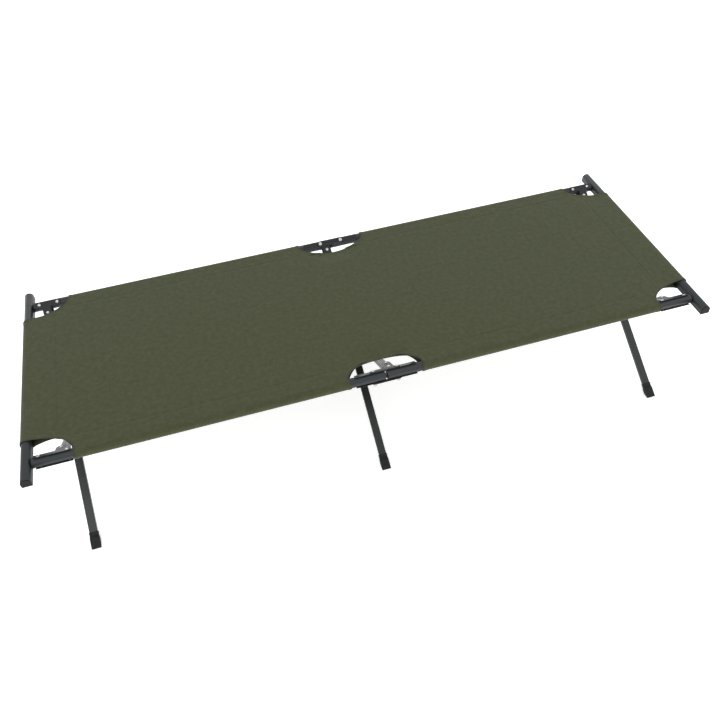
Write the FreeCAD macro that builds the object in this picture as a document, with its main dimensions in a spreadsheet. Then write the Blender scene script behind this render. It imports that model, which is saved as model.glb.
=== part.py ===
"""Folding camp bed used as a field stretcher: two hinged rails, six crossed legs, two end
bars and a fabric cover.  Millimetres, +Z up, origin on the ground under the bed's middle.

Each long side is a flat frame of its own: a rail in two halves and three legs, all in one
plane that leans by lean_angle.  The front frame's rail is at -Y and its feet at +Y, and the
back frame is the other way round, so the two frames cross like scissors.  Every piece of a
side is drawn in that side's own plane, with x along the rail, y from the feet up to the rail
and beyond, and z square to the plane, and is then put in place by the side's placement.
"""
import FreeCAD, Part
import math
import os
import re
import Sketcher

os.makedirs("parts", exist_ok=True)
doc = FreeCAD.newDocument("camp_bed")

SIZES = {
    # the whole bed
    "rail_height": 388.0,        # rail axis above the ground
    "half_width": 293.5,         # rail axis from the middle plane
    "lean_angle": 32.0,          # slope of each side frame
    # rails
    "rail_radius": 13.5,
    "rail_wall": 1.5,
    "rail_start": 3.5,           # half of the gap between the two halves of a rail
    "rail_end": 918.0,
    "plug_flange": 2.5,
    "plug_depth": 12.0,
    "stud_radius": 4.5,
    "stud_length": 0.9,
    # plates, rivets and bolts
    "plate_start": 13.8,         # inner face of every plate that lies on a rail
    "plate_thickness": 1.5,
    "plate_half_width": 9.0,
    "tab_radius": 12.5,
    "link_start": 15.6,
    "link_thickness": 1.8,
    "rivet_radius": 3.0,
    "rivet_play": 0.05,
    "rivet_head": 4.8,
    "rivet_head_height": 1.6,
    "spacer_radius": 6.5,
    "spacer_play": 0.15,
    "bolt_radius": 3.2,
    "bolt_head": 5.2,
    "bolt_head_height": 2.6,
    "nut_radius": 6.2,           # over the corners
    "nut_height": 4.4,
    "bolt_tail": 8.0,            # bolt below the lower link
    # middle hinge
    "hinge_x": 33.0,
    "ear_length": 82.0,          # from rail_start along the rail
    "ear_rivet_x": 76.0,
    "stay_rivet_drop": 21.0,
    # legs
    "leg_width": 23.0,
    "leg_thickness": 12.0,
    "leg_wall": 1.5,
    "leg_edge": 1.8,
    "leg_end": 716.0,            # lower end of the leg tube, below the rail axis
    "leg_stagger": 16.0,         # crossing legs stand this far each side of their pair's middle
    "pair_x": 866.0,             # middle of an end pair of legs
    "end_pivot_drop": 28.0,
    "middle_pivot_drop": 54.0,   # lower, so that the middle legs fold up over the end legs
    "foot_width": 27.0,
    "foot_thickness": 17.0,
    "foot_top": 690.0,
    "foot_end": 738.0,
    "foot_edge": 2.2,
    "foot_play": 0.05,
    "cross_head": 6.0,
    "cross_head_height": 2.2,
    "cross_gap": 0.3,
    # leg plates at the rail ends
    "end_rivet_x": 902.0,
    "plate_end": 914.0,
    # end bars
    "bar_x": 934.8,
    "bar_half": 13.0,
    "bar_wall": 1.5,
    "bar_reach": 351.0,
    "bar_flange": 2.5,
    "stud_hole": 5.2,
    # cover
    "cover_gap": 0.3,
    "cover_thickness": 1.2,
    "moon_length": 103.0,        # half length of the cut-out over the middle hinge
    "moon_depth": 52.0,
    "corner_length": 120.0,
    "corner_depth": 64.0,
}

sheet = doc.addObject("Spreadsheet::Sheet", "Sizes")
for row, (alias, number) in enumerate(SIZES.items(), start=1):
    sheet.set(f"A{row}", alias)
    sheet.set(f"B{row}", str(number))
    sheet.setAlias(f"B{row}", alias)
doc.recompute()

LEAN = sheet.get("lean_angle")
ALONG = {
    "x": FreeCAD.Rotation(FreeCAD.Vector(0, 1, 0), 90),
    "y": FreeCAD.Rotation(FreeCAD.Vector(1, 0, 0), -90),
    "z": FreeCAD.Rotation(),
}
SIDES = {
    "front": FreeCAD.Placement(
        FreeCAD.Vector(0, -sheet.get("half_width"), sheet.get("rail_height")),
        FreeCAD.Rotation(FreeCAD.Vector(1, 0, 0), 180 - LEAN)),
    "back": FreeCAD.Placement(
        FreeCAD.Vector(0, sheet.get("half_width"), sheet.get("rail_height")),
        FreeCAD.Rotation(FreeCAD.Vector(1, 0, 0), LEAN)),
}
UPPER = {"front": -1, "back": 1}      # sign of the side's own z on its upper face
ENDS = {"left": -1, "right": 1}
SOFT_EDGES = 1e-6
nodes = {}


# ---- small makers: every size and place below is a formula of the sheet's words ----

def formula(words):
    """The words of a size formula with each sheet alias written out in full."""
    return re.sub(r"[a-z_]+", lambda hit: "Sizes." + hit.group(0)
                  if hit.group(0) in SIZES else hit.group(0), words)


def bind(item, **sizes):
    """Bind properties of an object to formulas of the sheet."""
    for name, words in sizes.items():
        item.setExpression(name, formula(words))
    return item


def locate(item, x="0", y="0", z="0"):
    """Bind an object's place to formulas of the sheet."""
    for axis, words in (("x", x), ("y", y), ("z", z)):
        item.setExpression(f"Placement.Base.{axis}", formula(words))
    return item


def box(length, width, height, x="0", y="0", z="0"):
    """A box whose middle is at x, y, z."""
    item = bind(doc.addObject("Part::Box", "block"), Length=length, Width=width, Height=height)
    return locate(item, f"({x}) - ({length}) / 2", f"({y}) - ({width}) / 2",
                  f"({z}) - ({height}) / 2")


def rod(radius, height, x="0", y="0", z="0", along="z"):
    """A cylinder whose lower end's centre is at x, y, z."""
    item = bind(doc.addObject("Part::Cylinder", "rod"), Radius=radius, Height=height)
    item.Placement.Rotation = ALONG[along]
    return locate(item, x, y, z)


def cone(lower, upper, height, x, y, z, flip=False):
    """A cone along z, or against it when flipped."""
    item = bind(doc.addObject("Part::Cone", "cone"), Radius1=lower, Radius2=upper,
                Height=height)
    if flip:
        item.Placement.Rotation = FreeCAD.Rotation(FreeCAD.Vector(1, 0, 0), 180)
    return locate(item, x, y, z)


def fuse(*pieces):
    """One solid from several that touch or overlap."""
    item = doc.addObject("Part::MultiFuse", "joined")
    item.Shapes = list(pieces)
    item.Refine = True
    return item


def cut(base, *tools):
    """The base with every tool taken out of it."""
    item = doc.addObject("Part::Cut", "cut")
    item.Base = base
    item.Tool = tools[0] if len(tools) == 1 else group(*tools)
    return item


def group(*pieces):
    """Several separate solids in one object."""
    item = doc.addObject("Part::Compound", "group")
    item.Links = list(pieces)
    return item


def plane(body, role):
    """One of a body's own origin planes."""
    return next(item for item in body.Origin.OriginFeatures if item.Role == role)


def sketch_on(body, role, name):
    """An empty sketch on one of the body's own planes."""
    sketch = body.newObject("Sketcher::SketchObject", name)
    sketch.AttachmentSupport = [(plane(body, role), "")]
    sketch.MapMode = "FlatFace"
    return sketch


def dimension(sketch, kind, words, *where):
    """A sketch dimension bound to a formula of the sheet."""
    index = sketch.addConstraint(Sketcher.Constraint(kind, *where))
    sketch.setExpression(f"Constraints[{index}]", formula(words))


def circle(sketch, words, guess):
    """A circle round the sketch's origin."""
    ring = sketch.addGeometry(Part.Circle(FreeCAD.Vector(), FreeCAD.Vector(0, 0, 1), guess))
    sketch.addConstraint(Sketcher.Constraint("Coincident", ring, 3, -1, 1))
    dimension(sketch, "Radius", words, ring, guess)


def arch(sketch, half, foot):
    """A closed outline with a round top about the origin, straight sides and a flat foot."""
    half_words, half_guess = half
    foot_words, foot_guess = foot
    centre = FreeCAD.Vector()
    top = sketch.addGeometry(Part.ArcOfCircle(
        Part.Circle(centre, FreeCAD.Vector(0, 0, 1), half_guess), 0, math.pi))
    corners = [FreeCAD.Vector(-half_guess, 0, 0), FreeCAD.Vector(-half_guess, -foot_guess, 0),
               FreeCAD.Vector(half_guess, -foot_guess, 0), FreeCAD.Vector(half_guess, 0, 0)]
    left, base, right = [sketch.addGeometry(Part.LineSegment(start, stop))
                         for start, stop in zip(corners, corners[1:])]
    for first, second in (((top, 2), (left, 1)), ((left, 2), (base, 1)),
                          ((base, 2), (right, 1)), ((right, 2), (top, 1))):
        sketch.addConstraint(Sketcher.Constraint("Coincident", *first, *second))
    sketch.addConstraint(Sketcher.Constraint("Coincident", top, 3, -1, 1))
    sketch.addConstraint(Sketcher.Constraint("PointOnObject", left, 1, -1))
    sketch.addConstraint(Sketcher.Constraint("PointOnObject", right, 2, -1))
    sketch.addConstraint(Sketcher.Constraint("Vertical", left))
    sketch.addConstraint(Sketcher.Constraint("Vertical", right))
    sketch.addConstraint(Sketcher.Constraint("Horizontal", base))
    dimension(sketch, "Radius", half_words, top, half_guess)
    dimension(sketch, "DistanceY", foot_words, right, 1, right, 2, foot_guess)


def pad(body, sketch, words, midplane=False):
    """The sketch drawn out into a solid of the given length."""
    feature = body.newObject("PartDesign::Pad", "Pad")
    feature.Profile = sketch
    feature.Midplane = midplane
    bind(feature, Length=words)
    doc.recompute()
    return feature


def keep(node, item, placement=None):
    """Register a finished sub-part under its node name, set in its place."""
    item.Label = node
    if placement is not None:
        item.Placement = placement
    nodes[node] = item


def rivet(x, y, reach, radius="rivet_radius"):
    """A rivet square to the side frame: shank to `reach` each way and two domed heads."""
    shank = rod(radius, f"2 * ({reach})", x, y, f"-({reach})")
    heads = [cone("rivet_head", "rivet_head * 0.6", "rivet_head_height", x, y,
                  f"{sign} * ({reach})", flip=sign < 0) for sign in (-1, 1)]
    return fuse(shank, *heads)


def hole(x, y, radius="rivet_radius + rivet_play"):
    """A drill right through both faces of a side frame's piece."""
    return rod(radius, "100", x, y, "-50")


def plate_pair(start, thickness, outline):
    """Two equal plates, one on each face of the rail."""
    return [outline(f"{sign} * ({start} + {thickness} / 2)") for sign in (-1, 1)]


# ---- rails: steel tube halves with a plastic plug and a short stud in the outer end ----

def rail_holes(sign, inner_rivet):
    """Places along a rail half of its hinge bolt and rivets."""
    return [(f"{sign} * hinge_x", "bolt_radius + rivet_play"),
            (f"{sign} * ear_rivet_x", "rivet_radius + rivet_play"),
            (f"{sign} * end_rivet_x", "rivet_radius + rivet_play"),
            (f"{sign} * ({inner_rivet})", "rivet_radius + rivet_play")]


def rail(sign, inner_rivet):
    """One half of a rail, from the middle gap to its plug."""
    body = doc.addObject("PartDesign::Body", "rail")
    section = sketch_on(body, "YZ_Plane", "tube_section")
    circle(section, "rail_radius", 13.0)
    circle(section, "rail_radius - rail_wall", 12.0)
    pad(body, section, "rail_end - rail_start")
    locate(body, "rail_start" if sign > 0 else "-rail_end")
    drills = [hole(x, "0", radius) for x, radius in rail_holes(sign, inner_rivet)]
    return cut(body, *drills)


def rail_plug(sign):
    """Flange, spigot and stud that close a rail's outer end."""
    inner = "rail_radius - rail_wall - rivet_play"
    spigot = rod(inner, "plug_depth", "rail_end - plug_depth", along="x")
    flange = rod("rail_radius", "plug_flange", "rail_end", along="x")
    stud = rod("stud_radius", "stud_length", "rail_end + plug_flange", along="x")
    plug = fuse(spigot, flange, stud)
    if sign < 0:
        plug.Placement.Rotation = FreeCAD.Rotation(FreeCAD.Vector(0, 0, 1), 180)
        plug = group(plug)
    return plug


# ---- middle hinge: two link plates with a bolt and nut at each end ----

def hinge_links():
    """Upper and lower link plates that join the two halves of a rail."""
    def outline(z):
        ends = [rod("plate_half_width", "link_thickness", f"{sign} * hinge_x", "0",
                    f"{z} - link_thickness / 2") for sign in (-1, 1)]
        strip = box("2 * hinge_x", "2 * plate_half_width", "link_thickness", z=z)
        drills = [hole(f"{sign} * hinge_x", "0", "bolt_radius + rivet_play")
                  for sign in (-1, 1)]
        return cut(fuse(strip, *ends), *drills)
    return group(*plate_pair("link_start", "link_thickness", outline))


def hinge_bolt(x, upper):
    """A bolt with a low domed head on the upper face and its tail below the lower link."""
    outer = "link_start + link_thickness"
    reach = f"2 * ({outer}) + bolt_tail"
    low = f"-({outer}) - bolt_tail" if upper > 0 else f"-({outer})"
    shank = rod("bolt_radius", reach, x, "0", low)
    head = rod("bolt_head", "bolt_head_height * 0.45", x, "0",
               outer if upper > 0 else f"-({outer}) - bolt_head_height * 0.45")
    dome = cone("bolt_head", "bolt_head * 0.6", "bolt_head_height * 0.55", x, "0",
                f"{upper} * ({outer} + bolt_head_height * 0.45)", flip=upper < 0)
    return fuse(shank, head, dome)


def hinge_nut(x, upper):
    """A hexagon nut under the lower link."""
    outer = "link_start + link_thickness"
    prism = bind(doc.addObject("Part::Prism", "hexagon"), Circumradius="nut_radius",
                 Height="nut_height")
    locate(prism, x, "0", f"-({outer}) - nut_height" if upper > 0 else outer)
    return cut(prism, hole(x, "0", "bolt_radius + rivet_play"))


# ---- ears and leg plates: steel plates riveted through the rail ----

def tab(x, drop, z):
    """The part of a plate that reaches down to a leg's pivot, with a round lower end."""
    return [box("2 * tab_radius", drop, "plate_thickness", x, f"-{drop} / 2", z),
            rod("tab_radius", "plate_thickness", x, f"-{drop}", f"{z} - plate_thickness / 2")]


def ears(sign, with_leg):
    """Plates round a rail's inner end: with a tab that carries the middle leg, or plain."""
    leg_x = f"{sign} * leg_stagger"

    def outline(z):
        strip = box("ear_length", "2 * plate_half_width", "plate_thickness",
                    f"{sign} * (rail_start + ear_length / 2)", "0", z)
        drills = [hole(f"{sign} * hinge_x", "0", "bolt_radius + rivet_play"),
                  hole(f"{sign} * ear_rivet_x", "0")]
        if not with_leg:
            return cut(strip, *drills)
        drills += [hole(leg_x, "-middle_pivot_drop"), hole(leg_x, "-stay_rivet_drop")]
        return cut(fuse(strip, *tab(leg_x, "middle_pivot_drop", z)), *drills)
    return group(*plate_pair("plate_start", "plate_thickness", outline))


def leg_plates(sign, leg_x, inner_rivet):
    """Plates at a rail's outer end whose tab carries the end leg."""
    start = f"{inner_rivet} - plate_half_width"

    def outline(z):
        strip = box(f"plate_end - ({start})", "2 * plate_half_width", "plate_thickness",
                    f"{sign} * (plate_end + {start}) / 2", "0", z)
        drills = [hole(f"{sign} * end_rivet_x", "0"), hole(f"{sign} * ({inner_rivet})", "0"),
                  hole(f"{sign} * ({leg_x})", "-end_pivot_drop")]
        return cut(fuse(strip, *tab(f"{sign} * ({leg_x})", "end_pivot_drop", z)), *drills)
    return group(*plate_pair("plate_start", "plate_thickness", outline))


def pivot_set(x, drop):
    """The rivet that a leg turns on, with a spacer tube between the leg and each plate."""
    length = "plate_start - leg_thickness / 2 - 2 * spacer_play"
    spacers = [cut(rod("spacer_radius", length, x, f"-{drop}", low), hole(x, f"-{drop}"))
               for low in ("leg_thickness / 2 + spacer_play", "spacer_play - plate_start")]
    return [rivet(x, f"-{drop}", "plate_start + plate_thickness"), *spacers]


# ---- legs: flat steel tube with a round closed head, crossing bolt and rubber foot ----

CROSSING = f"-half_width / cos({LEAN} deg)"


def leg(x, drop):
    """A leg from its pivot down to the inside of its foot."""
    body = doc.addObject("PartDesign::Body", "leg")
    outline = sketch_on(body, "XY_Plane", "leg_outline")
    arch(outline, ("leg_width / 2", 11.0), (f"leg_end - {drop}", 650.0))
    solid = pad(body, outline, "leg_thickness", midplane=True)
    longest = max(edge.Length for edge in solid.Shape.Edges)
    long_edges = [f"Edge{number}" for number, edge in enumerate(solid.Shape.Edges, start=1)
                  if edge.Length > longest - SOFT_EDGES]
    rounded = body.newObject("PartDesign::Fillet", "Rounding")
    rounded.Base = (solid, long_edges)
    bind(rounded, Radius="leg_edge")
    locate(body, x, f"-{drop}")
    hollow_start = f"{drop} + leg_width / 2 + 3"
    hollow_end = "leg_end + 10"
    hollow = box("leg_width - 2 * leg_wall", f"{hollow_end} - ({hollow_start})",
                 "leg_thickness - 2 * leg_wall", x, f"-({hollow_start} + {hollow_end}) / 2")
    cross_hole = rod("rivet_radius + rivet_play", "leg_width + 20",
                     f"{x} - leg_width / 2 - 10", CROSSING, along="x")
    return cut(body, hollow, hole(x, f"-{drop}"), cross_hole)


def crossing_bolt(x, toward, spacer):
    """A leg's crossing bolt: head on the far side, shank, and on a front leg a spacer tube."""
    def along(start, length):
        """Start of a stretch measured from the leg's axis towards its partner."""
        return f"{x} + {start}" if toward > 0 else f"{x} - ({start}) - ({length})"

    shank = "leg_width - cross_gap"
    if spacer:
        shank = "leg_width + 4 * cross_gap"
        tube = "2 * leg_stagger - leg_width - 2 * cross_gap"
    pieces = [rod("cross_head", "cross_head_height",
                  along("(-leg_width / 2 - cross_head_height)", "cross_head_height"), CROSSING,
                  along="x"),
              rod("rivet_radius", shank, along("(-leg_width / 2)", shank), CROSSING, along="x")]
    if spacer:
        pieces.append(rod("cross_head", tube, along("(leg_width / 2 + cross_gap)", tube),
                          CROSSING, along="x"))
    return fuse(*pieces)


def foot(side, x):
    """A rubber boot on the leg's lower end, trimmed flat where it stands on the ground."""
    block = box("foot_width", "foot_end - foot_top", "foot_thickness", x,
                "-(foot_end + foot_top) / 2")
    doc.recompute()
    rounded = doc.addObject("Part::Fillet", "foot_edges")
    rounded.Base = block
    radius = sheet.get("foot_edge")
    rounded.Edges = [(number, radius, radius)
                     for number, edge in enumerate(block.Shape.Edges, start=1)
                     if abs(edge.tangentAt(edge.FirstParameter).y) > 1 - SOFT_EDGES]
    mouth = "(foot_top - 20)"
    floor = "(leg_end + foot_play)"
    socket = box("leg_width + 2 * foot_play", f"{floor} - {mouth}",
                 "leg_thickness + 2 * foot_play", x, f"-({floor} + {mouth}) / 2")
    ground = doc.addObject("Part::Box", "ground")
    ground.Length, ground.Width, ground.Height = 3000, 3000, 200
    ground.Placement = SIDES[side].inverse().multiply(
        FreeCAD.Placement(FreeCAD.Vector(-1500, -1500, -200), FreeCAD.Rotation()))
    return cut(rounded, socket, ground)


LEG_X = {"front": "pair_x - leg_stagger", "back": "pair_x + leg_stagger"}
INNER_RIVET = {"front": "pair_x - 3 * leg_stagger + 14", "back": "pair_x - leg_stagger"}
MIDDLE_LEG_END = {"front": "right", "back": "left"}

for side, placement in SIDES.items():
    upper = UPPER[side]
    keep(f"{side}_hinge_links", hinge_links(), placement)
    for kind, maker in (("bolts", hinge_bolt), ("nuts", hinge_nut)):
        keep(f"{side}_hinge_{kind}",
             group(*[maker(f"{sign} * hinge_x", upper) for sign in (-1, 1)]), placement)
    for end, sign in ENDS.items():
        leg_x = f"{sign} * ({LEG_X[side]})"
        keep(f"{side}_{end}_rail", rail(sign, INNER_RIVET[side]), placement)
        keep(f"{side}_{end}_rail_plug", rail_plug(sign), placement)
        has_leg = MIDDLE_LEG_END[side] == end
        keep(f"{side}_{end}_hinge_ears", ears(sign, has_leg), placement)
        ear_rivets = [rivet(f"{sign} * ear_rivet_x", "0", "plate_start + plate_thickness")]
        if has_leg:
            stay_x = f"{sign} * leg_stagger"
            ear_rivets.append(rivet(stay_x, "-stay_rivet_drop", "plate_start + plate_thickness"))
            ear_rivets += pivot_set(stay_x, "middle_pivot_drop")
        keep(f"{side}_{end}_ear_rivets", group(*ear_rivets), placement)
        keep(f"{side}_{end}_leg_plates", leg_plates(sign, LEG_X[side], INNER_RIVET[side]),
             placement)
        plate_rivets = [rivet(f"{sign} * ({x})", "0", "plate_start + plate_thickness")
                        for x in ("end_rivet_x", INNER_RIVET[side])]
        keep(f"{side}_{end}_plate_rivets",
             group(*plate_rivets, *pivot_set(leg_x, "end_pivot_drop")), placement)
    middle_x = "leg_stagger" if side == "front" else "-leg_stagger"
    stations = {"left": (f"-({LEG_X[side]})", "end_pivot_drop"),
                "middle": (middle_x, "middle_pivot_drop"),
                "right": (LEG_X[side], "end_pivot_drop")}
    for station, (x, drop) in stations.items():
        outward = 1 if station == "right" else -1
        toward = outward if side == "front" else -outward
        keep(f"{side}_{station}_leg", leg(x, drop), placement)
        keep(f"{side}_{station}_crossing_bolt", crossing_bolt(x, toward, side == "front"),
             placement)
        keep(f"{side}_{station}_foot", foot(side, x), placement)


# ---- end bars: arched steel tube with a plastic plug in each end ----

def arched_bar(half, foot, length):
    """A bar along y with a round top and a flat underside, about its own axis."""
    body = doc.addObject("PartDesign::Body", "bar")
    section = sketch_on(body, "XZ_Plane", "bar_section")
    arch(section, (half, 12.0), (foot, 12.0))
    pad(body, section, length, midplane=True)
    return body


for end, sign in ENDS.items():
    bar_place = (f"{sign} * bar_x", "0", "rail_height")
    tube = arched_bar("bar_half", "bar_half", "2 * (bar_reach - bar_flange)")
    hollow = arched_bar("bar_half - bar_wall", "bar_half - bar_wall", "2 * bar_reach")
    stud_holes = [rod("stud_hole", "bar_half", "0" if sign < 0 else "-bar_half",
                      f"{edge} * half_width", "0", along="x") for edge in (-1, 1)]
    keep(f"{end}_end_bar", cut(tube, hollow, *stud_holes))
    locate(nodes[f"{end}_end_bar"], *bar_place)
    plugs = []
    for edge in (-1, 1):
        flange = arched_bar("bar_half", "bar_half", "bar_flange")
        locate(flange, y=f"{edge} * (bar_reach - bar_flange / 2)")
        spigot = arched_bar("bar_half - bar_wall - 0.05", "bar_half - bar_wall - 0.05",
                            "plug_depth")
        locate(spigot, y=f"{edge} * (bar_reach - bar_flange - plug_depth / 2)")
        plugs.append(fuse(flange, spigot))
    keep(f"{end}_end_bar_plugs", group(*plugs))
    locate(nodes[f"{end}_end_bar_plugs"], *bar_place)


# ---- cover: one cloth with sleeves over the rails and end bars, split at the hinge lines ----

def oval(length, depth, x, y):
    """An oval cutter right through the cover."""
    curve = bind(doc.addObject("Part::Ellipse", "oval"), MajorRadius=length, MinorRadius=depth)
    locate(curve, x, y, "rail_height - 40")
    item = doc.addObject("Part::Extrusion", "oval_cutter")
    item.Base = curve
    item.DirMode = "Custom"
    item.Dir = FreeCAD.Vector(0, 0, 1)
    item.LengthFwd = 80
    item.Solid = True
    return item


INNER = "rail_radius + cover_gap"
OUTER = "rail_radius + cover_gap + cover_thickness"
SHEET_Z = "rail_height + rail_radius + cover_gap + cover_thickness / 2"


def cover_sheet(x_middle, length):
    """The flat top of the cover over part of the bed's length."""
    return box(length, "2 * half_width", "cover_thickness", x_middle, "0", SHEET_Z)


def end_cover(sign):
    """The cover over one half of the bed, with its two rail sleeves and its end sleeve."""
    length = f"bar_x + {OUTER} - hinge_x"
    middle = f"{sign} * (bar_x + {OUTER} + hinge_x) / 2"
    start = "hinge_x" if sign > 0 else "-bar_x"
    sleeves = [rod(OUTER, "bar_x - hinge_x", start, f"{edge} * half_width", "rail_height",
                   along="x") for edge in (-1, 1)]
    bores = [rod(INNER, "bar_x", "hinge_x - 20" if sign > 0 else "-bar_x - hinge_x + 20",
                 f"{edge} * half_width", "rail_height", along="x") for edge in (-1, 1)]
    end_sleeve = box(f"2 * ({OUTER})", "2 * half_width", f"2 * ({OUTER})",
                     f"{sign} * bar_x", "0", "rail_height")
    end_bore = box(f"2 * ({INNER})", "2 * half_width + 20", f"2 * ({INNER})",
                   f"{sign} * bar_x", "0", "rail_height")
    ovals = []
    for edge in (-1, 1):
        ovals.append(oval("moon_length", "moon_depth", "0", f"{edge} * half_width"))
        ovals.append(oval("corner_length", "corner_depth", f"{sign} * bar_x",
                          f"{edge} * half_width"))
    cloth = fuse(cover_sheet(middle, length), end_sleeve, *sleeves)
    return cut(cut(cloth, end_bore), *bores, *ovals)


keep("left_cover", end_cover(-1))
keep("right_cover", end_cover(1))
moons = [oval("moon_length", "moon_depth", "0", f"{edge} * half_width") for edge in (-1, 1)]
keep("middle_cover", cut(cover_sheet("0", "2 * hinge_x"), *moons))

# ---- check and write every sub-part ----

doc.recompute()
failed = [item.Name for item in doc.Objects if {"Invalid", "Error"} & set(item.State)]
if failed:
    raise RuntimeError(f"failed objects: {failed}")
for node, item in nodes.items():
    if item.Shape.isNull() or not item.Shape.isValid() or item.Shape.Volume <= 0:
        raise RuntimeError(f"bad shape: {node}")
    item.Shape.exportStep(f"parts/{node}.step")
print(f"{len(nodes)} sub-parts written")
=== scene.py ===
"""Looks of a folding camp bed: taut olive cloth, dark painted steel tube, rubber boots."""
import math

import bmesh
import bpy
import numpy as np
from mathutils import Matrix, Vector


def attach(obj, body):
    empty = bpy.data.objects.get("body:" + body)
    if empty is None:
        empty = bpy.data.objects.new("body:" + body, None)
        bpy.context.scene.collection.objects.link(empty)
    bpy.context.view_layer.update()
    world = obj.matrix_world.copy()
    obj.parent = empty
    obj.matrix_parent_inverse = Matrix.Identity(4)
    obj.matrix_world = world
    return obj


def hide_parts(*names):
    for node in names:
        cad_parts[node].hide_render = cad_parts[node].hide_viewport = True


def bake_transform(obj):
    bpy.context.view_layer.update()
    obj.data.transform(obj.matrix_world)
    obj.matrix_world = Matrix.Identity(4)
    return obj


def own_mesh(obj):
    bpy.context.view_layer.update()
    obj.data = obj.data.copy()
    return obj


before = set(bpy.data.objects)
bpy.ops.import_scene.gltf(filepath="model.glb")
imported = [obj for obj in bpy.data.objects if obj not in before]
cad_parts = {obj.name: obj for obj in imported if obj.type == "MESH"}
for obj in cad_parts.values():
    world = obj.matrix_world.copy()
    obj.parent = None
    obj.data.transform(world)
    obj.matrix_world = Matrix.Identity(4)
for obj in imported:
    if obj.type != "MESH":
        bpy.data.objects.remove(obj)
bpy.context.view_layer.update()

# ---- Cloth ---------------------------------------------------------------------------------
# Olive polyester canvas, one layer of 1.1 mm, stretched between two rails and two end bars.
# Each long side is sewn into a sleeve round its rail and each end into a sleeve round its bar.
# Four ovals are cut out at the corners and two half ovals over the middle hinges, all hemmed.

HALF_WIDTH = 0.2935          # rail axis from the bed's middle plane
RAIL_Z = 0.388
BAR_X = 0.9348
WRAP = 0.0145                # middle of the cloth from the axis of a rail or bar
CLOTH = 0.0011
SPLIT = 0.033                # where the middle piece of the cloth meets the two end pieces
MOON = (0.0, 0.103, 0.052)   # oval over a middle hinge: place along X, half length, half depth
CORNER = (BAR_X, 0.120, 0.064)
HEM = 0.009                  # width of the fold sewn under at a cut edge
HEM_RISE = 0.0009            # how far a hem, being two layers, stands up
HEM_BULGE = 0.06             # how much wider a sleeve's hemmed end is, as a share
HEM_ROW = 0.962              # share of the width beyond which an end sleeve is hemmed
RAIL_SEAM = HALF_WIDTH - 0.0445
BAR_SEAM = 0.854
HEM_GROOVE = 0.0005          # how deep each line of stitching pulls the cloth in
RAIL_GROOVE = 0.0007
BAR_GROOVE = 0.0008
GROOVE_WIDTH = 0.002
RAIL_FLAP = (0.040, 0.049)   # a sleeve's way back in: where it meets the top cloth, and ends
BAR_FLAP = (0.074, 0.087)
TUCK = 0.0016                # how far under the top cloth a flap lies
UNDER = 0.02                 # further in than this from its axis, a sleeve has no hem to show
SAG = 0.0035
DIP = (0.008, 0.004)          # how far a middle and a corner oval's free edge hangs down


def smooth(value, low, high):
    """0 below low, 1 above high, and an even curve between."""
    share = np.clip((value - low) / (high - low), 0, 1)
    return share * share * (3 - 2 * share)


def cloth_edge(x):
    """How far the cloth reaches from the middle plane at x."""
    edge = HALF_WIDTH
    for middle, length, depth in (MOON, CORNER):
        share = abs(abs(x) - middle) / length
        if share < 1:
            edge = HALF_WIDTH - depth * math.sqrt(1 - share * share)
    return edge


def from_cut(x, y):
    """Distance from the nearest cut edge, about right close to it."""
    nearest = 1.0
    for middle, length, depth in (MOON, CORNER):
        across, down = (abs(x) - middle) / length, (HALF_WIDTH - abs(y)) / depth
        reach = math.hypot(across, down)
        slope = math.hypot(across / length, down / depth) / max(reach, 1e-6)
        nearest = min(nearest, abs(reach - 1) / slope)
    return nearest


def cloth_top(x, y):
    """Height of the cloth's middle surface over the bed: sag, pulled folds, hems and seams."""
    along, across = x / BAR_X, y / HALF_WIDTH
    height = RAIL_Z + WRAP - SAG * (1 - across ** 2) * (1 - along ** 2)
    for corner_x, turns, phase, size in ((BAR_X - 0.125, 9.0, 0.4, 0.0009),
                                         (0.106, 7.0, 1.7, 0.0007)):
        side_x, side_y = abs(x) - corner_x, HALF_WIDTH - abs(y)
        reach = math.hypot(side_x, side_y)
        angle = math.atan2(side_y, side_x)
        fold = math.sin(turns * angle + phase + (1.3 if x * y > 0 else 0.0))
        height += size * fold * math.exp(-reach / 0.10) * smooth(reach, 0.012, 0.05)
    for (middle, length, depth), dip in zip((MOON, CORNER), DIP):
        across = abs(abs(x) - middle) / length
        inland = (cloth_edge(x) - abs(y)) / 0.07
        height -= dip * (1 - smooth(across, 0.1, 1.0)) * (1 - smooth(inland, 0.0, 1.0)) \
            * smooth(BAR_X - 0.006 - abs(x), 0.0, 0.05)
    cut = from_cut(x, y)
    height += HEM_RISE * (1 - smooth(cut, HEM - 0.001, HEM + 0.0015))
    height -= HEM_GROOVE * math.exp(-((cut - HEM + 0.002) / 0.0012) ** 2)
    on_sleeve = smooth(cut, HEM, HEM + 0.01)
    height -= RAIL_GROOVE * math.exp(-((abs(y) - RAIL_SEAM) / GROOVE_WIDTH) ** 2) * on_sleeve \
        * smooth(abs(x), 0.10, 0.115) * (1 - smooth(abs(x), 0.80, 0.82))
    height -= BAR_GROOVE * math.exp(-((abs(x) - BAR_SEAM) / GROOVE_WIDTH) ** 2) * on_sleeve
    return height


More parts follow.
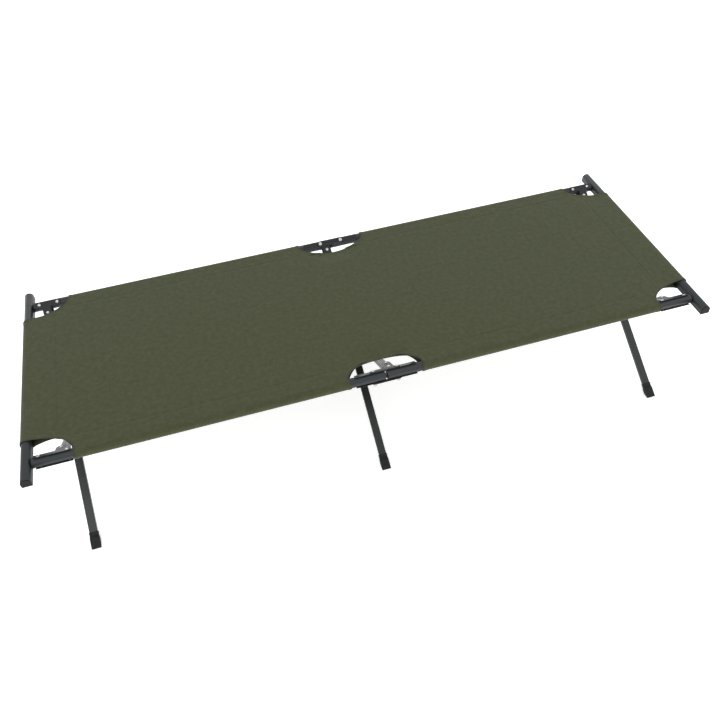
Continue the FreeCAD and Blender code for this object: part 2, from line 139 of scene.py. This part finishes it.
def sleeve_path(corner):
    """The cloth's way round a rail or bar: outward distance and height from its axis.
    It starts on top, and ends flat under the top cloth beyond the seam."""
    if corner:           # round top, flat sides and underside
        path = [(WRAP * math.sin(a), WRAP * math.cos(a))
                for a in np.linspace(0, math.pi / 2, 8)]
        for middle_x, first in ((1, 0.0), (-1, math.pi / 2)):
            path += [(middle_x * 0.0115 + 0.003 * math.cos(first + a),
                      -0.0115 - 0.003 * math.sin(first + a))
                     for a in np.linspace(0, math.pi / 2 if first == 0 else 0.75, 5)]
        flap = BAR_FLAP
    else:
        path = [(WRAP * math.sin(a), WRAP * math.cos(a))
                for a in np.linspace(0, math.radians(216), 19)]
        flap = RAIL_FLAP
    for inward, count in zip(flap, (9, 4)):
        start, stop = path[-1], (-inward, WRAP - TUCK)
        path += [(start[0] + (stop[0] - start[0]) * share,
                  start[1] + (stop[1] - start[1]) * share)
                 for share in np.linspace(0, 1, count + 1)[1:]]
    return path


def sheet_rows():
    """Shares of the half width, close together at the edges and along the rail seams."""
    half = [0, .05, .11, .17, .23, .29, .35, .41, .47, .53, .59, .65, .70, .74, .77, .80, .818,
            .834, .842, .8455, .8484, .8513, .855, .864, .88, .90, .92, .935, .948, .958, .966, .974,
            .982, .99, 1.0]
    return [-share for share in half[:0:-1]] + half


def sheet_columns(sign):
    """Places along X for one end piece, close together at the ovals' ends and the end seam."""
    start = math.asin(SPLIT / MOON[1])
    moon = [MOON[1] * math.sin(a) for a in np.linspace(start, math.pi / 2, 18)]
    middle = list(np.linspace(MOON[1] + 0.0006, MOON[1] + 0.012, 7)) \
        + list(np.linspace(MOON[1] + 0.02, BAR_X - CORNER[1] - 0.02, 66)) \
        + list(np.linspace(BAR_X - CORNER[1] - 0.012, BAR_X - CORNER[1] - 0.0006, 7))
    corner = [BAR_X - CORNER[1] * math.cos(a) for a in np.linspace(0, math.pi / 2, 22)]
    groove = [BAR_SEAM + step for step in (-.004, -.0025, -.0012, 0, .0012, .0025, .004)]
    return [sign * x for x in sorted(moon + middle + corner + groove)]


def add_grid(mesh, points, flip):
    """A grid of faces over rows of points."""
    rows = [[mesh.verts.new(point) for point in row] for row in points]
    for first, second in zip(rows, rows[1:]):
        for a, b, c, d in zip(first, first[1:], second[1:], second):
            mesh.faces.new((d, c, b, a) if flip else (a, b, c, d))


def cloth_mesh(name, columns, sign, panel=True, sleeves=()):
    """One piece of the cloth as a mesh with its real thickness, and its flat area: the panel
    with its end sleeve, or only the sleeves along the rails on the sides asked for."""
    mesh = bmesh.new()
    rows = sheet_rows()
    if panel:
        add_grid(mesh, [[(x, row * cloth_edge(x), cloth_top(x, row * cloth_edge(x)))
                         for row in rows] for x in columns], sign < 0)
    if sign:
        first, last = MOON[1], BAR_X - CORNER[1]
        run = [abs(x) for x in columns if first - 1e-9 <= abs(x) <= last + 1e-9]
        for side in sleeves:
            grid = []
            for x in run:
                line = []
                for out, up in sleeve_path(False):
                    low = MOON[1] * math.sqrt(1 - (out / MOON[2]) ** 2)
                    high = BAR_X - CORNER[1] * math.sqrt(1 - (out / CORNER[2]) ** 2)
                    place = low + (high - low) * (x - first) / (last - first)
                    bulge = 1 + HEM_BULGE * (1 - smooth(min(place - low, high - place),
                                                   HEM - 0.002, HEM + 0.001))
                    if out == 0 and up > 0:
                        line.append((sign * x, side * HALF_WIDTH,
                                     cloth_top(x * sign, side * HALF_WIDTH)))
                        continue
                    line.append((sign * place, side * (HALF_WIDTH + out * bulge),
                                 RAIL_Z + up * (bulge if out > -UNDER else 1)))
                grid.append(line)
            add_grid(mesh, grid, (sign < 0) != (side < 0))
    if sign and panel:
        grid = []
        for out, up in sleeve_path(True):
            x = BAR_X + out
            edge = HALF_WIDTH - CORNER[2] * math.sqrt(1 - (out / CORNER[1]) ** 2)
            hem = HEM_RISE if out > -UNDER else 0.0
            grid.append([
                (sign * x + sign * hem * (out / WRAP) * (abs(row) > HEM_ROW),
                 row * edge,
                 RAIL_Z + up + hem * (up / WRAP) * (abs(row) > HEM_ROW)
                 if out or up < 0 else cloth_top(sign * BAR_X, row * edge))
                for row in rows])
        add_grid(mesh, grid, sign < 0)
    bmesh.ops.remove_doubles(mesh, verts=mesh.verts, dist=2e-5)
    bmesh.ops.dissolve_degenerate(mesh, dist=1e-5, edges=mesh.edges)
    bmesh.ops.recalc_face_normals(mesh, faces=mesh.faces)
    area = sum(face.calc_area() for face in mesh.faces)
    thick = bpy.data.meshes.new(name)
    mesh.to_mesh(thick)
    mesh.free()
    piece = bpy.data.objects.new(name, thick)
    bpy.context.collection.objects.link(piece)
    solid = piece.modifiers.new("thickness", "SOLIDIFY")
    solid.thickness = CLOTH
    solid.offset = 0.0
    return bake(piece), area


def bake(piece):
    """The piece with its modifiers made final and its faces shaded smooth."""
    graph = bpy.context.evaluated_depsgraph_get()
    final = bpy.data.meshes.new_from_object(piece.evaluated_get(graph))
    piece.modifiers.clear()
    piece.data = final
    final.shade_smooth()
    final.set_sharp_from_angle(angle=math.radians(50))
    return piece


def linear(code):
    """Linear RGBA from an sRGB hex colour."""
    parts = [int(code[start:start + 2], 16) / 255 for start in (1, 3, 5)]
    return [part / 12.92 if part <= 0.04045 else ((part + 0.055) / 1.055) ** 2.4
            for part in parts] + [1.0]


def add(material, kind, inputs=None, stops=(), **settings):
    """A shader node with its settings, and each input either a value or a link.
    The stops of a colour ramp are places with sRGB colours."""
    node = material.node_tree.nodes.new("ShaderNode" + kind)
    for name, value in settings.items():
        setattr(node, name, value)
    for index, (place, colour) in enumerate(stops):
        elements = node.color_ramp.elements
        element = elements[index] if index < len(elements) else elements.new(place)
        element.position = place
        element.color = linear(colour)
    for socket, value in (inputs or {}).items():
        if isinstance(value, bpy.types.NodeSocket):
            material.node_tree.links.new(value, node.inputs[socket])
        else:
            node.inputs[socket].default_value = value
    return node


def new_material(name, colour):
    """An empty material whose plain colour is also set for simple viewers."""
    material = bpy.data.materials.new(name)
    material.use_nodes = True
    material.node_tree.nodes.clear()
    material.diffuse_color = linear(colour)
    return material


def patches(size):
    """Scale of a noise whose patches are about this many millimetres across."""
    return 1000 / size


def bands(pitch):
    """Scale of a wave whose bands are this many millimetres apart."""
    return 100 * math.pi / pitch


BLOTCH = 13.33               # mm, where the dye took unevenly
SLUB = 2.381                 # mm, thick and thin places in the yarn
WEAVE = 1.2083               # mm; real yarns are about 0.5 mm apart, too fine to show


def cloth_material(name, dark, plain, light):
    """Woven polyester canvas in three close tones.  The plain weave and its dull, faintly
    furry yarn leave no highlight, only a dry, slightly blotched colour."""
    cloth = new_material(name, plain)
    place = add(cloth, "TexCoord").outputs["Object"]
    blotch = add(cloth, "TexNoise", {"Vector": place, "Scale": patches(BLOTCH), "Detail": 5.0,
                                     "Roughness": 0.62})
    yarn = add(cloth, "TexNoise", {"Vector": place, "Scale": patches(SLUB), "Detail": 3.0,
                                   "Roughness": 0.6})
    shade = add(cloth, "MixRGB", {"Fac": 0.35, "Color1": blotch.outputs["Fac"],
                                  "Color2": yarn.outputs["Fac"]})
    colour = add(cloth, "ValToRGB", {"Fac": shade.outputs["Color"]},
                 stops=((0.30, dark), (0.52, plain), (0.74, light)))
    warp = add(cloth, "TexWave", {"Vector": place, "Scale": bands(WEAVE), "Distortion": 1.2,
                                  "Detail": 1.0}, bands_direction="X")
    weft = add(cloth, "TexWave", {"Vector": place, "Scale": bands(WEAVE), "Distortion": 1.2,
                                  "Detail": 1.0}, bands_direction="Y")
    weave = add(cloth, "Math", {0: warp.outputs["Fac"], 1: weft.outputs["Fac"]},
                operation="MAXIMUM")
    relief = add(cloth, "Bump", {"Height": weave.outputs[0], "Strength": 0.35,
                                 "Distance": 0.0003})
    slub = add(cloth, "Bump", {"Height": yarn.outputs["Fac"], "Strength": 0.4,
                               "Distance": 0.0005, "Normal": relief.outputs["Normal"]})
    surface = add(cloth, "BsdfPrincipled", {
        "Base Color": colour.outputs["Color"], "Roughness": 0.88, "Specular IOR Level": 0.25,
        "Sheen Weight": 0.12, "Sheen Roughness": 0.5, "Normal": slub.outputs["Normal"]})
    add(cloth, "OutputMaterial", {"Surface": surface.outputs[0]})
    return cloth


SHADED_HEM_WIDTH = HEM * 0.55        # the rolled outer part of a hem, where painted shade darkens the canvas

canvas = cloth_material("olive_polyester_canvas", "#373b25", "#40442d", "#4a4e35")
# The hem's canvas is the same cloth in darker tones: painted shade along the rolled edges.
shaded_hem_canvas = cloth_material("olive_canvas_hem_painted_shade", "#31341f", "#3a3d29", "#43472f")
cloths = {}
for name, sign, panel, sleeves in (
        ("left_cloth", -1, True, (1,)), ("left_front_sleeve", -1, False, (-1,)),
        ("middle_cloth", 0, True, ()),
        ("right_cloth", 1, True, (1,)), ("right_front_sleeve", 1, False, (-1,))):
    columns = sheet_columns(sign) if sign else list(np.linspace(-SPLIT, SPLIT, 19))
    cloths[name] = cloth_mesh(name, columns, sign, panel, sleeves)
    data = cloths[name][0].data
    data.materials.append(canvas)
    data.materials.append(shaded_hem_canvas)
    # Faces close to a cut edge take the hem's painted shade.
    for face in data.polygons:
        face.material_index = int(from_cut(face.center.x, face.center.y) < SHADED_HEM_WIDTH)

# ---- Stitching -----------------------------------------------------------------------------
# Olive sewing thread, 0.7 mm thick in 3.6 mm stitches.  It holds the end sleeves, the rail
# sleeves and the hems round the ovals, and lies in its own small groove.

THREAD = 0.00035             # radius
STITCH = 0.0036
STITCH_PITCH = 0.0052
STITCH_INSET = HEM - 0.002   # the hem's stitching, from the cut edge
SEAM_STOP = 0.02             # the rail seams stop this far short of the ovals
SINK = (0.0009, 0.0001)      # how deep a stitch lies at its ends and along its middle


def stitch(mesh, start, stop):
    """One stitch: a short thread that dives into the cloth at both ends."""
    start, stop = Vector(start), Vector(stop)
    ahead = (stop - start).normalized()
    side = ahead.cross(Vector((0, 0, 1))).normalized()
    rings = []
    for share, sink in ((0.0, SINK[0]), (0.25, SINK[1]), (0.75, SINK[1]), (1.0, SINK[0])):
        middle = start.lerp(stop, share) - Vector((0, 0, sink))
        rings.append([mesh.verts.new(middle + THREAD * (side * math.cos(a)
                                                        + Vector((0, 0, math.sin(a)))))
                      for a in np.linspace(0, 2 * math.pi, 7)[:-1]])
    for first, second in zip(rings, rings[1:]):
        for turn in range(6):
            mesh.faces.new((first[turn - 1], first[turn], second[turn], second[turn - 1]))
    mesh.faces.new(rings[0])
    mesh.faces.new(rings[-1][::-1])


def seam(mesh, line):
    """Stitches at an even pitch along a line of points in plan, laid on the cloth."""
    line = [np.array(point) for point in line]
    steps = [np.linalg.norm(b - a) for a, b in zip(line, line[1:])]
    length = np.concatenate([[0.0], np.cumsum(steps)])

    def at(distance):
        x = float(np.interp(distance, length, [point[0] for point in line]))
        y = float(np.interp(distance, length, [point[1] for point in line]))
        return x, y, cloth_top(x, y) + CLOTH / 2 + THREAD * 0.5

    for start in np.arange(0.003, length[-1] - STITCH, STITCH_PITCH):
        stitch(mesh, at(start), at(start + STITCH))


def oval_line(oval, low, high, sign, side):
    """The line of a hem's stitches, just inside the cloth along an oval's edge."""
    middle, length, depth = oval
    return [(sign * (middle + (length + STITCH_INSET) * math.cos(a)),
             side * (HALF_WIDTH - (depth + STITCH_INSET) * math.sin(a)))
            for a in np.linspace(low, high, 40)]


# Spun sewing thread, smoother than the canvas, so each stitch catches a little more light.
spun = new_material("olive_sewing_thread", "#3a3d2b")
twist = add(spun, "BsdfPrincipled", {"Base Color": linear("#3a3d2b"), "Roughness": 0.6})
add(spun, "OutputMaterial", {"Surface": twist.outputs[0]})
threads = {}
for name, sign in (("left_cloth", -1), ("middle_cloth", 0), ("right_cloth", 1)):
    mesh = bmesh.new()
    split = math.acos(SPLIT / (MOON[1] + STITCH_INSET))
    for side in (-1, 1):
        if sign:
            seam(mesh, oval_line(MOON, 0.12, split, sign, side))
            seam(mesh, oval_line(CORNER, math.pi / 2, math.pi - 0.12, sign, side))
            seam(mesh, [(sign * (MOON[1] + SEAM_STOP), side * RAIL_SEAM),
                        (sign * (BAR_X - CORNER[1] - SEAM_STOP), side * RAIL_SEAM)])
        else:
            seam(mesh, oval_line(MOON, split, math.pi - split, 1, side))
    if sign:
        reach = cloth_edge(BAR_SEAM) - HEM
        seam(mesh, [(sign * BAR_SEAM, -reach), (sign * BAR_SEAM, reach)])
    data = bpy.data.meshes.new(name + "_thread")
    mesh.to_mesh(data)
    mesh.free()
    data.shade_smooth()
    data.materials.append(spun)
    threads[name] = bpy.data.objects.new(name + "_thread", data)
    bpy.context.collection.objects.link(threads[name])

# Each piece of cloth takes the place of its CAD cover. The two panels, the front sleeves and
# their stitching move with their front rails; the middle strip and its stitching stay put.
for name, body, node, flat, rests in (
        ("left_cloth", "front_left", "left_cover", (0.71, 1.05),
         ["back_left_rail", "left_end_bar"]),
        ("left_front_sleeve", "front_left", "left_cover", (0.12, 0.74), ["front_left_rail"]),
        ("middle_cloth", "front_hinge", "middle_cover", (0.50, 0.066),
         ["left_cloth", "right_cloth"]),
        ("right_cloth", "front_right", "right_cover", (0.71, 1.05),
         ["back_right_rail", "right_end_bar"]),
        ("right_front_sleeve", "front_right", "right_cover", (0.12, 0.74),
         ["front_right_rail"])):
    piece, area = cloths[name]
    sewn = [threads[name]] if name in threads else []
    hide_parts(node)
    for item in [piece, *sewn]:
        if name == "middle_cloth":
            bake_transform(item)
        else:
            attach(item, body)
        if name in ("left_cloth", "right_cloth"):
            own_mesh(item)

# ---- Painted tube --------------------------------------------------------------------------
# Rails and end bars of drawn steel tube under a satin dark green-black powder coat.  Legs of
# flat tube under a glossier paint of the same colour.  Every sharp edge gets a small round.

RUBBED = 71.43               # mm, patches where hands have changed the gloss
TUBE_EDGE = 0.0004


def paint(name, colour, roughness, coat, peel_size):
    """Paint or powder coat over steel.  Its fine orange peel, given in millimetres, softens
    the long highlights, and its gloss is uneven where hands have rubbed it."""
    material = new_material(name, colour)
    place = add(material, "TexCoord").outputs["Object"]
    peel = add(material, "TexNoise", {"Vector": place, "Scale": patches(peel_size), "Detail": 2.0})
    wear = add(material, "TexNoise", {"Vector": place, "Scale": patches(RUBBED), "Detail": 4.0})
    gloss = add(material, "MapRange", {"Value": wear.outputs["Fac"], "From Min": 0.3,
                                       "From Max": 0.7, "To Min": roughness - 0.06,
                                       "To Max": roughness + 0.08})
    bump = add(material, "Bump", {"Height": peel.outputs["Fac"], "Strength": 0.25,
                                  "Distance": 0.0002})
    surface = add(material, "BsdfPrincipled", {
        "Base Color": linear(colour), "Roughness": gloss.outputs["Result"],
        "Coat Weight": coat, "Coat Roughness": 0.2, "Specular IOR Level": 0.35,
        "Normal": bump.outputs["Normal"]})
    add(material, "OutputMaterial", {"Surface": surface.outputs[0]})
    return material


def finish_nodes(material, wanted, edge):
    """Give CAD nodes a material and round their sharp edges."""
    for name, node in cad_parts.items():
        if not wanted(name):
            continue
        node.data.materials.clear()
        node.data.materials.append(material)
        if edge:
            weld = node.modifiers.new("weld", "WELD")
            weld.merge_threshold = 1e-5
            bevel = node.modifiers.new("edge", "BEVEL")
            bevel.width = edge
            bevel.segments = 2
            bevel.limit_method = "ANGLE"
            bevel.angle_limit = math.radians(40)


finish_nodes(paint("satin_green_black_powder_coat", "#272b2d", 0.40, 0.05, 1.1111),
             lambda name: name.endswith("_rail") or name.endswith("end_bar"), TUBE_EDGE)
finish_nodes(paint("semi_gloss_green_black_paint", "#1c2321", 0.28, 0.12, 1.4286),
             lambda name: name.endswith("_leg"), TUBE_EDGE)

# ---- Plates and fixings --------------------------------------------------------------------
# Hinge links, ears and leg plates of pressed steel, satin black.  Rivets, crossing bolts,
# hinge bolts and nuts are bright zinc.

SPANGLE = 3.846              # mm, light and dark patches in the plating
PRESSED_EDGE = 0.0003
RAIL_RIVET = 0.05            # rivets further out than this go through the rail

pressed = paint("satin_black_pressed_steel", "#17191b", 0.38, 0.08, 1.25)
finish_nodes(pressed,
             lambda name: name.endswith(("_links", "_ears", "_plates")), PRESSED_EDGE)

# Zinc plate on steel: a bright, slightly cloudy metal, so each fixing shows as a pale dot.
zinc = new_material("bright_zinc_plate", "#c9c9c4")
tone = add(zinc, "TexNoise", {"Vector": add(zinc, "TexCoord").outputs["Object"],
                              "Scale": patches(SPANGLE), "Detail": 3.0})
plate_tone = add(zinc, "ValToRGB", {"Fac": tone.outputs["Fac"]},
                 stops=((0.3, "#b4b4ae"), (0.7, "#dcdcd8")))
plated = add(zinc, "BsdfPrincipled", {"Base Color": plate_tone.outputs["Color"],
                                      "Metallic": 1.0, "Roughness": 0.28})
add(zinc, "OutputMaterial", {"Surface": plated.outputs[0]})
finish_nodes(zinc, lambda name: name.endswith(("_rivets", "_bolt", "_bolts", "_nuts")),
             PRESSED_EDGE)
for name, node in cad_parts.items():
    if name.endswith("ear_rivets"):      # the rivet through each rail is painted over
        node.data.materials.append(pressed)
        for face in node.data.polygons:
            face.material_index = int(abs(face.center.x) > RAIL_RIVET)

# ---- End plugs -----------------------------------------------------------------------------
# Moulded black plastic: a flanged plug pushed into each end of every bar and into each rail's
# outer end, where it closes the tube.

SPARK_GRAIN = 0.6667         # mm, the mould's texture
PLUG_EDGE = 0.0006

# Plastic moulded against a fine texture: no clear reflection, only a grey bloom on its edges.
plastic = new_material("moulded_black_plastic", "#191a1b")
grain = add(plastic, "TexNoise", {"Vector": add(plastic, "TexCoord").outputs["Object"],
                                  "Scale": patches(SPARK_GRAIN), "Detail": 2.0})
grain_relief = add(plastic, "Bump", {"Height": grain.outputs["Fac"], "Strength": 0.2,
                                     "Distance": 0.0001})
moulded = add(plastic, "BsdfPrincipled", {
    "Base Color": linear("#0e0f10"), "Roughness": 0.55, "Specular IOR Level": 0.2,
    "Normal": grain_relief.outputs["Normal"]})
add(plastic, "OutputMaterial", {"Surface": moulded.outputs[0]})
finish_nodes(plastic, lambda name: name.endswith(("_plug", "_plugs")), PLUG_EDGE)

# ---- Boots ---------------------------------------------------------------------------------
# Moulded black rubber, pushed over the leg's end: a rolled lip, a neck, and a heavier block
# below a step, cut flat where it stands on the ground.

LEAN = math.radians(32)
GROUND = 0.0002              # the soles, just clear of the floor
END_LEG_X = {"front": 0.850, "back": 0.882}
MIDDLE_LEG_X = 0.016
DUST = 11.11                 # mm, patches of dust and handling marks

# Moulded rubber, left matt by the mould and dusty: nearly black, with a wide weak sheen.
rubber = new_material("moulded_black_rubber", "#1b1c1d")
dust = add(rubber, "TexNoise", {"Vector": add(rubber, "TexCoord").outputs["Object"],
                                "Scale": patches(DUST), "Detail": 5.0})
rubber_tone = add(rubber, "ValToRGB", {"Fac": dust.outputs["Fac"]},
                  stops=((0.35, "#0e0f11"), (0.75, "#1a1c1e")))
rubber_relief = add(rubber, "Bump", {"Height": dust.outputs["Fac"], "Strength": 0.3,
                                     "Distance": 0.0003})
matt = add(rubber, "BsdfPrincipled", {
    "Base Color": rubber_tone.outputs["Color"], "Roughness": 0.62, "Specular IOR Level": 0.3,
    "Normal": rubber_relief.outputs["Normal"]})
add(rubber, "OutputMaterial", {"Surface": matt.outputs[0]})


def boot(name, x, side):
    """A boot about a leg's axis, which leans from its rail down to the far side's ground."""
    down = Vector((0, -side * math.cos(LEAN), -math.sin(LEAN)))
    across = Vector((0, -side * math.sin(LEAN), math.cos(LEAN)))
    rail = Vector((x, side * HALF_WIDTH, RAIL_Z))
    mesh = bmesh.new()
    rings = []
    for run, wide, thick, soft in (
            (0.7000, 0.0116, 0.0061, 0.0012), (0.6905, 0.0116, 0.0061, 0.0012),
            (0.6900, 0.0126, 0.0071, 0.0022), (0.6912, 0.0132, 0.0078, 0.0030),
            (0.6930, 0.0130, 0.0076, 0.0030), (0.6945, 0.0126, 0.0072, 0.0026),
            (0.7040, 0.0127, 0.0074, 0.0026), (0.7052, 0.0134, 0.0084, 0.0030),
            (0.7062, 0.0136, 0.0086, 0.0032), (0.7190, 0.0137, 0.0087, 0.0034),
            (0.7380, 0.0137, 0.0087, 0.0034)):
        ring = []
        for corner in range(4):
            for turn in np.linspace(0, math.pi / 2, 5):
                angle = corner * math.pi / 2 + turn
                flat_x = (wide - soft) * (1 if corner in (0, 3) else -1)
                flat_t = (thick - soft) * (1 if corner in (0, 1) else -1)
                ring.append(mesh.verts.new(
                    rail + down * run + Vector((1, 0, 0)) * (flat_x + soft * math.cos(angle))
                    + across * (flat_t + soft * math.sin(angle))))
        rings.append(ring)
    for first, second in zip(rings, rings[1:]):
        for turn in range(len(first)):
            mesh.faces.new((first[turn - 1], first[turn], second[turn], second[turn - 1]))
    mesh.faces.new(rings[0])
    mesh.faces.new(rings[-1])
    whole = mesh.verts[:] + mesh.edges[:] + mesh.faces[:]
    cut = bmesh.ops.bisect_plane(mesh, geom=whole, plane_co=(0, 0, GROUND),
                                 plane_no=(0, 0, -1), clear_outer=True)
    rim = [item for item in cut["geom_cut"] if isinstance(item, bmesh.types.BMEdge)]
    bmesh.ops.edgeloop_fill(mesh, edges=rim)
    bmesh.ops.recalc_face_normals(mesh, faces=mesh.faces)
    data = bpy.data.meshes.new(name)
    mesh.to_mesh(data)
    mesh.free()
    data.materials.append(rubber)
    piece = bpy.data.objects.new(name, data)
    bpy.context.collection.objects.link(piece)
    bevel = piece.modifiers.new("edge", "BEVEL")
    bevel.width = 0.0007
    bevel.segments = 2
    bevel.limit_method = "ANGLE"
    bevel.angle_limit = math.radians(50)
    return bake(piece)


for side_name, side in (("front", -1), ("back", 1)):
    stand = END_LEG_X[side_name]
    for station, x in (("left", -stand), ("middle", -side * MIDDLE_LEG_X), ("right", stand)):
        piece = boot(f"{side_name}_{station}_boot", x, side)
        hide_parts(f"{side_name}_{station}_foot")
        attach(piece, f"{side_name}_{station}_leg")

# ---- Studio --------------------------------------------------------------------------------
# A pale floor that runs off in every direction, and three large soft lights high above it, in
# an even white surround.

FLOOR_SIZE = 60
FLOOR_DROP = 0.0005
AIM = Vector((0, 0, 0.3))    # the lights point here

bpy.ops.mesh.primitive_grid_add(x_subdivisions=2, y_subdivisions=2, size=FLOOR_SIZE,
                                location=(0, 0, -FLOOR_DROP))
floor = bpy.context.object
floor.name = "studio_floor"

# Uncoated white paper, lit so that it stays plain white and takes only a faint shadow.
paper = new_material("white_studio_paper", "#ffffff")
sheet = add(paper, "BsdfPrincipled", {
    "Base Color": linear("#fafafa"), "Roughness": 0.9, "Specular IOR Level": 0.0,
    "Emission Color": linear("#ffffff"), "Emission Strength": 0.5})
add(paper, "OutputMaterial", {"Surface": sheet.outputs[0]})
floor.data.materials.append(paper)

world = bpy.data.worlds.new("studio")
world.use_nodes = True
world.node_tree.nodes["Background"].inputs["Color"].default_value = linear("#ffffff")
world.node_tree.nodes["Background"].inputs["Strength"].default_value = 1.0
bpy.context.scene.world = world

bpy.context.scene.view_settings.view_transform = "Standard"

for name, place, size, power in (("key", (-1.6, -2.2, 3.4), 2.6, 22.0),
                                 ("fill", (2.8, -1.8, 2.6), 2.4, 10.0),
                                 ("back", (0.4, 3.0, 2.6), 2.6, 14.0)):
    lamp = bpy.data.lights.new(name, "AREA")
    lamp.size = size
    lamp.energy = power
    light = bpy.data.objects.new(name, lamp)
    light.location = place
    light.rotation_euler = (AIM - Vector(place)).to_track_quat("-Z", "Y").to_euler()
    bpy.context.collection.objects.link(light)

# ---- Camera --------------------------------------------------------------------------------
# Above the near side, a little left of the middle, looking down and slightly to the right.

EYE = (-0.3720, -1.5149, 1.8567)
YAW, PITCH, ROLL = 0.2430, 0.8336, -0.0599
SENSOR, FOCUS = 36.0, 36.26  # mm
ahead = Vector((math.sin(YAW) * math.cos(PITCH), math.cos(YAW) * math.cos(PITCH),
                -math.sin(PITCH)))
level = ahead.cross(Vector((0, 0, 1))).normalized()
upright = level.cross(ahead)
right = level * math.cos(ROLL) + upright * math.sin(ROLL)
top = upright * math.cos(ROLL) - level * math.sin(ROLL)
lens = bpy.data.cameras.new("camera")
lens.sensor_width = SENSOR
lens.lens = FOCUS
camera = bpy.data.objects.new("camera", lens)
camera.matrix_world = Matrix.Translation(EYE) @ Matrix(
    (right, top, -ahead)).transposed().to_4x4()
bpy.context.collection.objects.link(camera)
bpy.context.scene.camera = camera
